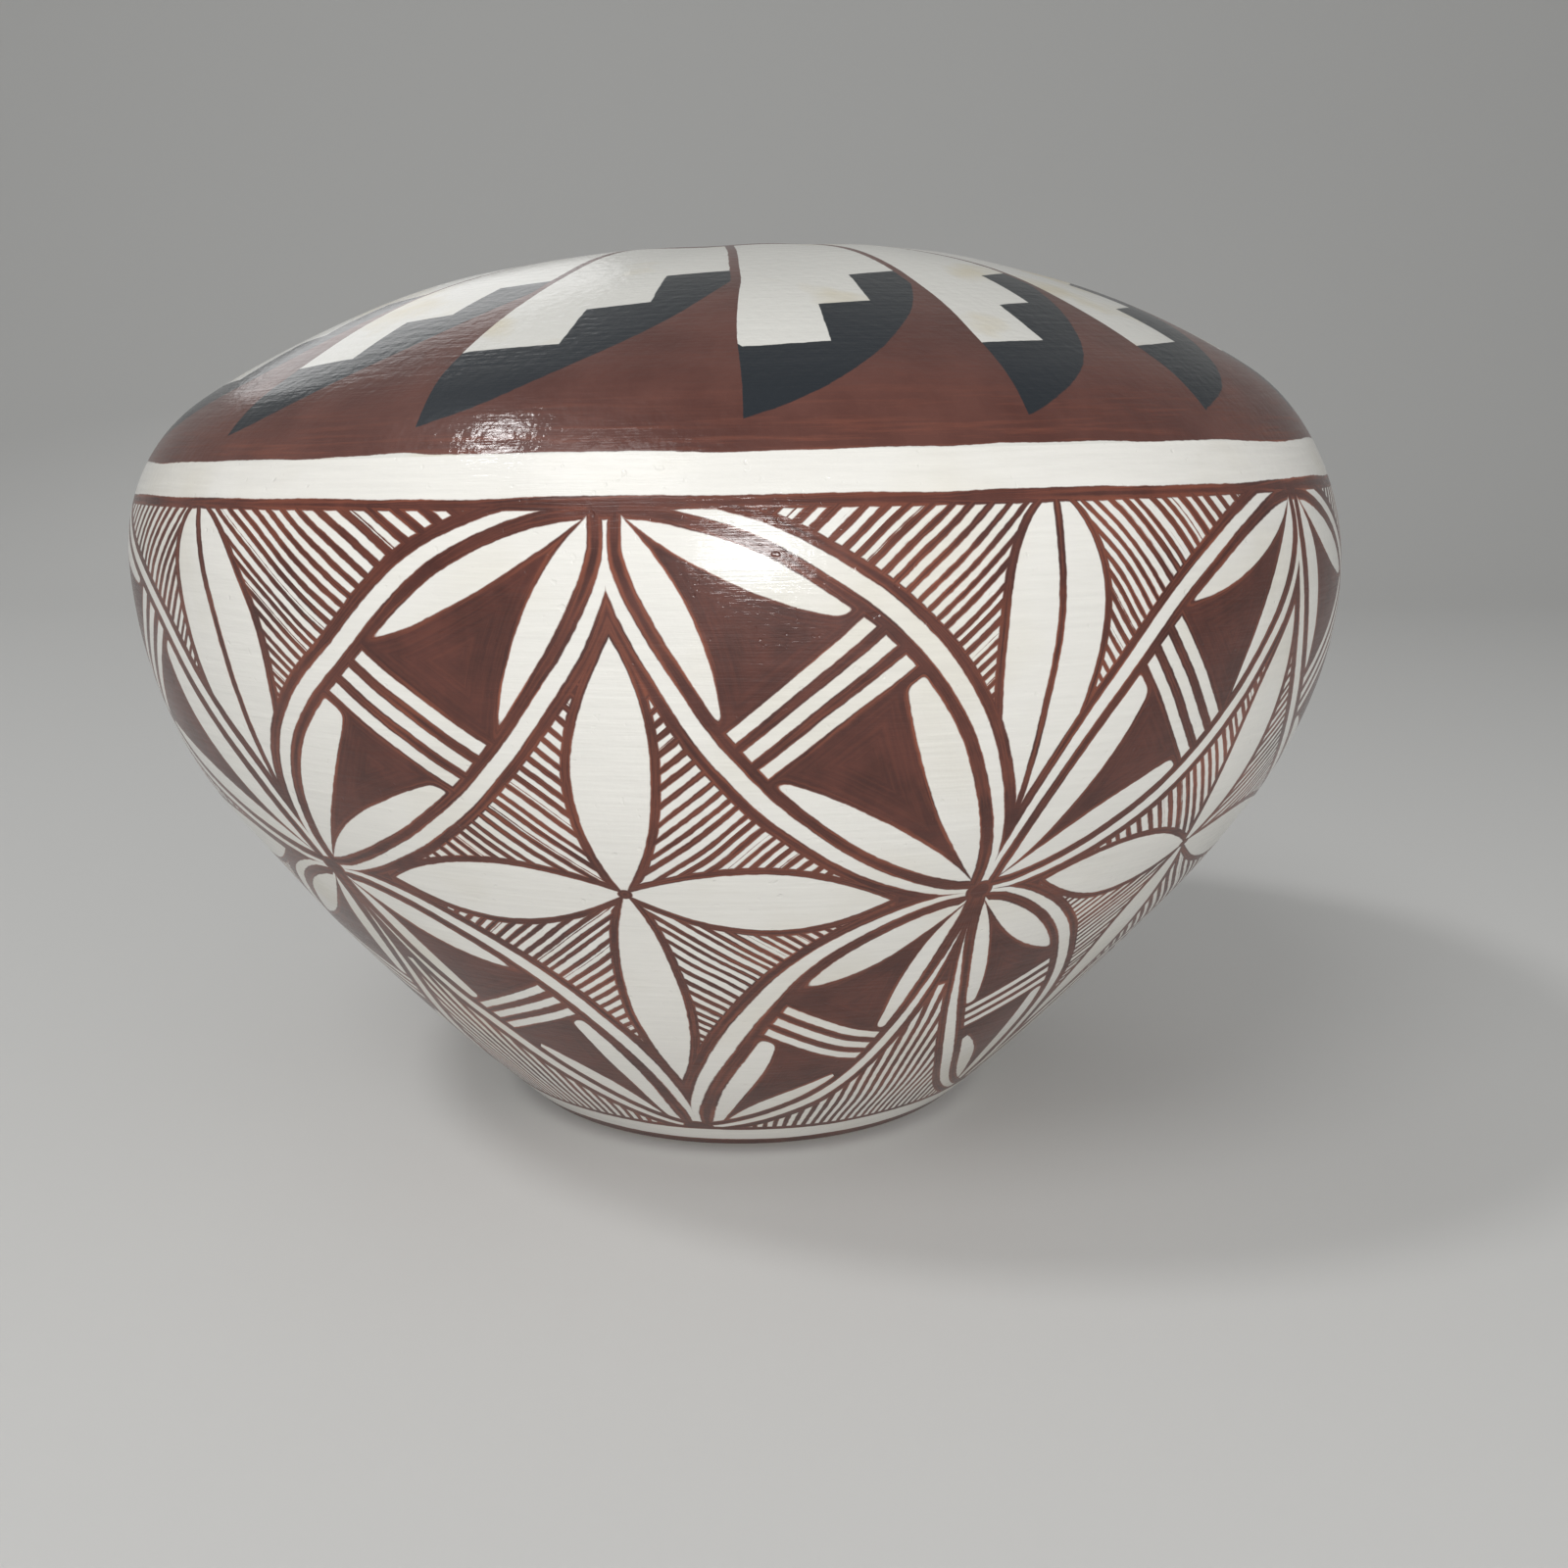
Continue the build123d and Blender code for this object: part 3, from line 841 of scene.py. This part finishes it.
allPaint = [  # the fields put together, once their hatching is there
    ("hatch", "MULTIPLY", "flowerStrokeIn", paint["hatchPitch"]),
    ("hatchOut", "MINIMUM", "hatch", "leafOut"),
    ("flowerAll", "MAXIMUM", "hatchOut", "leafLine", "tip"),
    ("flower", "MINIMUM", "flowerAll", "notFar"),
    ("topHatch", "DIVIDE", "topStrokeIn", "perMm"),
    ("topHatchOut", "MINIMUM", "topHatch", "topLeafOut"),
    ("topCorner", "MAXIMUM", "topHatchOut", "topLeafLine", "vein"),
    ("cornerMore", "SUBTRACT", "lowHatch", "topCorner"),
    ("cornerLines", "MULTIPLY_ADD", "below", "cornerMore", "topCorner"),
    ("cornerAll", "MAXIMUM", "cornerLines", "apex"),
    ("corner", "MINIMUM", "cornerAll", "notNear"),
    ("drawn", "MAXIMUM", "lensPaint", "flower", "corner", "sideBlob", "topBlob", "midBlob",
     "upperLine", "lowerLine"),
    ("framed", "MINIMUM", "drawn", "underTop", "overLow"),
    ("rings", "MAXIMUM", "framed", "domeOver", "footUnder"),
    ("paint", "ADD", "rings", "ragged"),
]
strokeLuck = {"seed": 57.3, "offset": 0.3, "width": 0.1, "flower": 0.22, "top": 0.275 - 0.05}


def bodyFinish():
    # Stone-rubbed kaolin slip with brushed iron-oxide paint: satin, the slip with fine level
    # strokes and pits, the paint uneven, thin and more orange where the brush ran dry.
    material, tree = newMaterial("kaolinSlipIronPaint")
    known = mapsOf(tree)
    latticeMap = addNode(tree, "UVMap", uv_map="latticeMap")[0]
    known["phase"], known["row"] = addNode(tree, "SeparateXYZ", [latticeMap])[:2]
    follow(tree, known, ornament)
    for field in ("flower", "top"):  # each stroke has its own offset and width
        stroke = field + "Stroke"
        follow(tree, known, [
            (stroke + "Whole", "ROUND", stroke),
            (stroke + "Seed", "MULTIPLY_ADD", "cell", strokeLuck["seed"], stroke + "Whole"),
        ])
        luck = addNode(tree, "TexWhiteNoise", {"W": known[stroke + "Seed"]},
                       noise_dimensions="1D")[0]
        follow(tree, known, [
            (stroke + "Moved", "MULTIPLY_ADD", luck, strokeLuck["offset"], stroke),
            (stroke + "Ping", "PINGPONG", stroke + "Moved", 0.5),
            (stroke + "Width", "MULTIPLY_ADD", luck, strokeLuck["width"], strokeLuck[field]),
            (stroke + "In", "SUBTRACT", stroke + "Width", stroke + "Ping"),
        ])
    follow(tree, known, allPaint)
    mask = addNode(tree, "MapRange", [known["paint"], -edges["soft"], edges["soft"], 0.0, 1.0])[0]

    # streaks in the paint follow its edges, as the brush did
    follow(tree, known, [("streakAt", "MULTIPLY", "paint", paint["streakAcross"])])
    shifted = addNode(tree, "CombineXYZ", [known["streakAt"]])[0]
    stretched = (paint["streakAlong"],) * 3
    streakPlace = addNode(tree, "VectorMath", [known["place"], stretched, shifted],
                          operation="MULTIPLY_ADD")[0]
    streaks = addNode(tree, "TexNoise", {"Vector": streakPlace, **paint["streaks"]})[0]
    worn = addNode(tree, "MapRange", [streaks, *paint["worn"]])[0]
    nearEdge = addNode(tree, "MapRange", [known["paint"], *paint["nearEdge"]])[0]
    thin = addNode(tree, "Math", [worn, nearEdge], operation="MULTIPLY")[0]
    iron = ironColour(tree, known, paint, thin)

    # the slip's level strokes stay visible
    strokes = addNode(tree, "TexNoise", {"Vector": known["brushed"], **paint["strokes"]})[0]
    shade = addNode(tree, "MapRange", [strokes, *paint["shade"]])[0]
    slip = addNode(tree, "VectorMath", {0: slipColour(tree, known, paint), "Scale": shade},
                   operation="SCALE")[0]
    colour = addNode(tree, "Mix", {0: mask, 6: slip, 7: iron}, data_type="RGBA")[2]
    rough = addNode(tree, "MapRange", [strokes, *paint["rough"]])[0]
    pits = addNode(tree, "TexNoise", {"Vector": known["place"], **paint["pits"]})[0]
    known["strokes"] = strokes
    known["pitted"] = addNode(tree, "MapRange", [pits, *paint["pitted"]])[0]
    follow(tree, known, [
        ("grit", "MULTIPLY_ADD", "fine", paint["gritHeight"], "pitted"),
        ("relief", "MULTIPLY_ADD", "strokes", paint["strokeHeight"], "grit"),
    ])
    finishSurface(tree, paint, colour, rough, known["relief"])
    return material


dome = {  # the dome's paints and its feathers, in mm and in shares of a feather's width
    "divider": 1.15,
    "rim": 128.3,  # station of a feather's tip
    "rimRise": 13.0,
    "rimBow": 22.0,
    "rimPower": 2.7,
    "rimSteep": 0.7,  # mm across the rim in a mm of tape
    "wave": 1.2,
    "wander": 0.05,
    "firstStep": (141.3, 2.4, 0.37),  # station, rise across the feather and where it ends
    "secondStep": (150.4, 4.6, 0.63),
    "thirdStep": (159.6, 6.0),
    "patches": {"Scale": 0.09, "Detail": 4.0, "Roughness": 0.6},
    "deep": (0.36, 0.62, 0.0, 1.0),
    "strokes": {"Scale": 1.3, "Detail": 4.0, "Roughness": 0.65},
    "dryStrokes": (0.5, 0.75, 0.0, 1.0),
    "dried": (124.0, 134.0, 0.55, 0.06),  # stations, and how dry the brush ran there
    "stains": {"Scale": 0.06, "Detail": 3.0},
    "stained": (0.55, 0.72, 0.0, 0.8),
    "rough": (0.3, 0.7, 0.38, 0.5),
    "strokeHeight": 0.065,
    "gritHeight": 0.08,
    "coat": 0.55,
    "coatRoughness": 0.08,
    "specular": 0.25,
    "iron": "#5f3a32",
    "ironDark": "#522f28",
    "ironThin": "#8a4f3c",
    "black": "#1d2329",
    "slip": "#d6d5cf",
    "slipStain": "#c9bd9c",
}
feathers = [  # distances in mm, above 0 inside the whole feather and inside its white panel
    ("fMoved", "MULTIPLY_ADD", "waveA", dome["wander"], "feather"),
    ("f", "SUBTRACT", "fMoved", dome["wander"] / 2),
    ("u", "FRACT", "f"),
    ("sMoved", "MULTIPLY_ADD", "waveB", dome["wave"], "rise"),
    ("s", "SUBTRACT", "sMoved", dome["wave"] / 2),
    ("perFeather", "MULTIPLY", "radius", math.radians(360 / feather["count"])),
    ("left", "MULTIPLY", "u", "perFeather"),
    ("rest", "SUBTRACT", 1.0, "u"),
    ("restWide", "MULTIPLY", "rest", "perFeather"),
    ("right", "SUBTRACT", "restWide", dome["divider"]),
    ("bowed", "POWER", "u", dome["rimPower"]),
    ("rimStart", "MULTIPLY_ADD", "u", dome["rimRise"], dome["rim"]),
    ("rim", "MULTIPLY_ADD", "bowed", dome["rimBow"], "rimStart"),
    ("rimGap", "SUBTRACT", "s", "rim"),
    ("rimIn", "MULTIPLY", "rimGap", dome["rimSteep"]),
    ("mouthEdge", "MULTIPLY_ADD", "waveA", *edges["mouth"]),
    ("fromMouth", "SUBTRACT", "mouthEdge", "station"),
    ("whole", "MINIMUM", "left", "right", "rimIn", "fromMouth"),
]
for step in ("first", "second"):  # kiva steps between white and black
    level, rise, end = dome[step + "Step"]
    feathers += [
        (step + "Level", "MULTIPLY_ADD", "u", rise, level),
        (step + "Up", "SUBTRACT", "s", step + "Level"),
        (step + "Rest", "SUBTRACT", end, "u"),
        (step + "Wide", "MULTIPLY", step + "Rest", "perFeather"),
        (step + "In", "MINIMUM", step + "Up", step + "Wide"),
    ]
feathers += [
    ("thirdLevel", "MULTIPLY_ADD", "u", dome["thirdStep"][1], dome["thirdStep"][0]),
    ("thirdIn", "SUBTRACT", "s", "thirdLevel"),
    ("steps", "MAXIMUM", "firstIn", "secondIn", "thirdIn"),
    ("ragged", "MULTIPLY_ADD", "fine", edges["ragged"], -edges["ragged"] / 2),
    ("featherIn", "ADD", "whole", "ragged"),
    ("whiteIn", "ADD", "steps", "ragged"),
    ("domeEdge", "MULTIPLY_ADD", "waveC", *edges["dome"]),
    ("under", "SUBTRACT", "domeEdge", "station"),
    ("bandIn", "SUBTRACT", "under", "ragged"),
]


def domeFinish():
    # The dome: iron-oxide paint, rubbed to a sheen, with feathers in kaolin slip and black
    # mineral paint. Each has a straight side, a bowed one and steps between black and white.
    material, tree = newMaterial("burnishedIronPaint")
    known = mapsOf(tree)
    featherMap = addNode(tree, "UVMap", uv_map="featherMap")[0]
    known["feather"], known["rise"] = addNode(tree, "SeparateXYZ", [featherMap])[:2]
    follow(tree, known, feathers)
    soft = edges["domeSoft"]
    inBand, inFeather, inWhite = [
        addNode(tree, "MapRange", [known[part], -soft, soft, 0.0, 1.0])[0]
        for part in ("bandIn", "featherIn", "whiteIn")]
    strokes = addNode(tree, "TexNoise", {"Vector": known["brushed"], **dome["strokes"]})[0]
    dried = addNode(tree, "MapRange", [known["station"], *dome["dried"]])[0]
    streaks = addNode(tree, "MapRange", [strokes, *dome["dryStrokes"]])[0]
    dry = addNode(tree, "Math", [streaks, dried], operation="MULTIPLY")[0]
    iron, slip = ironColour(tree, known, dome, dry), slipColour(tree, known, dome)
    panel = addNode(tree, "Mix", {0: inWhite, 6: toLinear(dome["black"]), 7: slip},
                    data_type="RGBA")[2]
    colour = addNode(tree, "Mix", {0: inFeather, 6: iron, 7: panel}, data_type="RGBA")[2]
    colour = addNode(tree, "Mix", {0: inBand, 6: colour, 7: slip}, data_type="RGBA")[2]
    rough = addNode(tree, "MapRange", [strokes, *dome["rough"]])[0]
    known["strokes"] = strokes
    follow(tree, known, [
        ("grit", "MULTIPLY", "fine", dome["gritHeight"]),
        ("relief", "MULTIPLY_ADD", "strokes", dome["strokeHeight"], "grit"),
    ])
    finishSurface(tree, dome, colour, rough, known["relief"])
    return material


clay = {
    "body": "#b09a80",
    "scraped": "#8f7a62",
    "drags": {"Scale": 0.8, "Detail": 4.0, "Roughness": 0.7},
    "sand": {"Scale": 1.4, "Detail": 2.0},
    "dragShare": 0.7,
    "sandShare": 0.3,
    "tones": (0.35, 0.65, 0.0, 1.0),
    "height": 0.25,  # mm
    "roughness": 0.85,
}


def clayFinish():
    # Scraped and fired clay with a sand temper: matte, with drag marks and grit.
    material, tree = newMaterial("scrapedFiredClay")
    known = mapsOf(tree)
    for mark, where in (("drags", "brushed"), ("sand", "place")):
        known[mark] = addNode(tree, "TexNoise", {"Vector": known[where], **clay[mark]})[0]
    follow(tree, known, [
        ("sandy", "MULTIPLY", "sand", clay["sandShare"]),
        ("mixed", "MULTIPLY_ADD", "drags", clay["dragShare"], "sandy"),
        ("height", "MULTIPLY", "mixed", clay["height"]),
    ])
    part = addNode(tree, "MapRange", [known["mixed"], *clay["tones"]])[0]
    scraped, body = toLinear(clay["scraped"]), toLinear(clay["body"])
    colour = addNode(tree, "Mix", {0: part, 6: scraped, 7: body}, data_type="RGBA")[2]
    finishSurface(tree, clay, colour, clay["roughness"], known["height"])
    return material


slipPaint, domePaint, bareClay = bodyFinish(), domeFinish(), clayFinish()
for name, piece in coats.items():
    piece.data.materials.append(domePaint if name == "paintedDome" else slipPaint)
clayBody.data.materials.append(bareClay)
print("finishes", len(slipPaint.node_tree.nodes), "nodes on the body")

# Studio: a pale sweep, soft lamps and the camera of the photograph. Lengths are in metres.
studio = {
    "floor": "#d4d4d2",
    "world": 0.27,
    "backdrop": 0.62,  # the world's strength where the camera sees it
    "width": 5.0,
    "front": 2.2,
    "depth": 1.6,
    "height": 2.0,
    "below": 0.0002,  # how far under the foot the floor lies
    "bend": 0.8,
    "bendSteps": 16,
}
bpy.ops.object.select_all(action="DESELECT")
bpy.ops.mesh.primitive_plane_add(size=1.0)
sweep = bpy.context.object
sweep.name = "sweep"
sweep.scale = (studio["width"], studio["front"] + studio["depth"], 1.0)
sweep.location = (0, (studio["depth"] - studio["front"]) / 2, -studio["below"])
bpy.ops.object.transform_apply(location=True, scale=True)
bpy.ops.object.mode_set(mode="EDIT")
bpy.ops.mesh.select_all(action="DESELECT")
bpy.ops.object.mode_set(mode="OBJECT")
for edge in sweep.data.edges:
    edge.select = all(sweep.data.vertices[v].co.y > studio["depth"] - 0.01 for v in edge.vertices)
bpy.ops.object.mode_set(mode="EDIT")
bpy.ops.mesh.select_mode(type="EDGE")
bpy.ops.mesh.extrude_region_move(TRANSFORM_OT_translate={"value": (0, 0, studio["height"])})
bpy.ops.mesh.select_mode(type="VERT")
bpy.ops.object.mode_set(mode="OBJECT")
bend = sweep.modifiers.new("bend", "BEVEL")
bend.width, bend.segments, bend.limit_method = studio["bend"], studio["bendSteps"], "ANGLE"
bpy.context.view_layer.objects.active = sweep
bpy.ops.object.modifier_apply(modifier="bend")
bpy.ops.object.shade_smooth()
paper, paperTree = newMaterial("palePaper")
paperColour = addNode(paperTree, "BsdfPrincipled", {
    "Base Color": toLinear(studio["floor"]), "Roughness": 0.9})[0]
addNode(paperTree, "OutputMaterial", [paperColour])
sweep.data.materials.append(paper)
sweep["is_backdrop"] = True

lamps = [  # name, place, size and watts, seen from the front
    ("key", (-0.6, -1.1, 1.5), 0.8, 5.7),
    ("fill", (1.3, -0.9, 0.7), 1.2, 0.9),
    ("ceilingLamp", (-0.70, -0.29, 1.20), 0.2, 3.4),
    ("frontLamp", (0.035, -0.96, 0.315), 0.25, 5.1),
    ("wallGlow", (-0.42, 1.0, 0.66), 0.55, 0.8),
]
aim = Vector((0, 0, 0.08))  # the middle of the jar
for name, place, size, power in lamps:
    data = bpy.data.lights.new(name, "AREA")
    data.energy, data.shape, data.size = power, "DISK", size
    lamp = bpy.data.objects.new(name, data)
    bpy.context.scene.collection.objects.link(lamp)
    lamp.location = place
    lamp.rotation_euler = (aim - Vector(place)).to_track_quat("-Z", "Y").to_euler()
world = bpy.data.worlds.new("studioWorld")
world.use_nodes = True
world.node_tree.nodes.clear()
bpy.context.scene.world = world
seen = addNode(world.node_tree, "LightPath")["Is Camera Ray"]
strength = addNode(world.node_tree, "MapRange", [
    seen, 0.0, 1.0, studio["world"], studio["backdrop"]])[0]
glow = addNode(world.node_tree, "Background", {"Color": (1, 1, 1, 1), "Strength": strength})[0]
addNode(world.node_tree, "OutputWorld", [glow])

view = {"place": (0, -0.2621, 0.105), "down": 12.14, "right": 1.48, "lens": 36, "sensor": 36}
camera = bpy.data.objects.new("camera", bpy.data.cameras.new("camera"))
bpy.context.scene.collection.objects.link(camera)
camera.data.lens, camera.data.sensor_width = view["lens"], view["sensor"]
camera.data.clip_start = 0.01
camera.location = view["place"]
camera.rotation_euler = (math.radians(90 - view["down"]), 0, math.radians(-view["right"]))
bpy.context.scene.camera = camera
bpy.context.scene.view_settings.view_transform = "Standard"
print("studio set")

size = [[list(corner) for corner in cadBox], [list(corner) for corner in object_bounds()]]
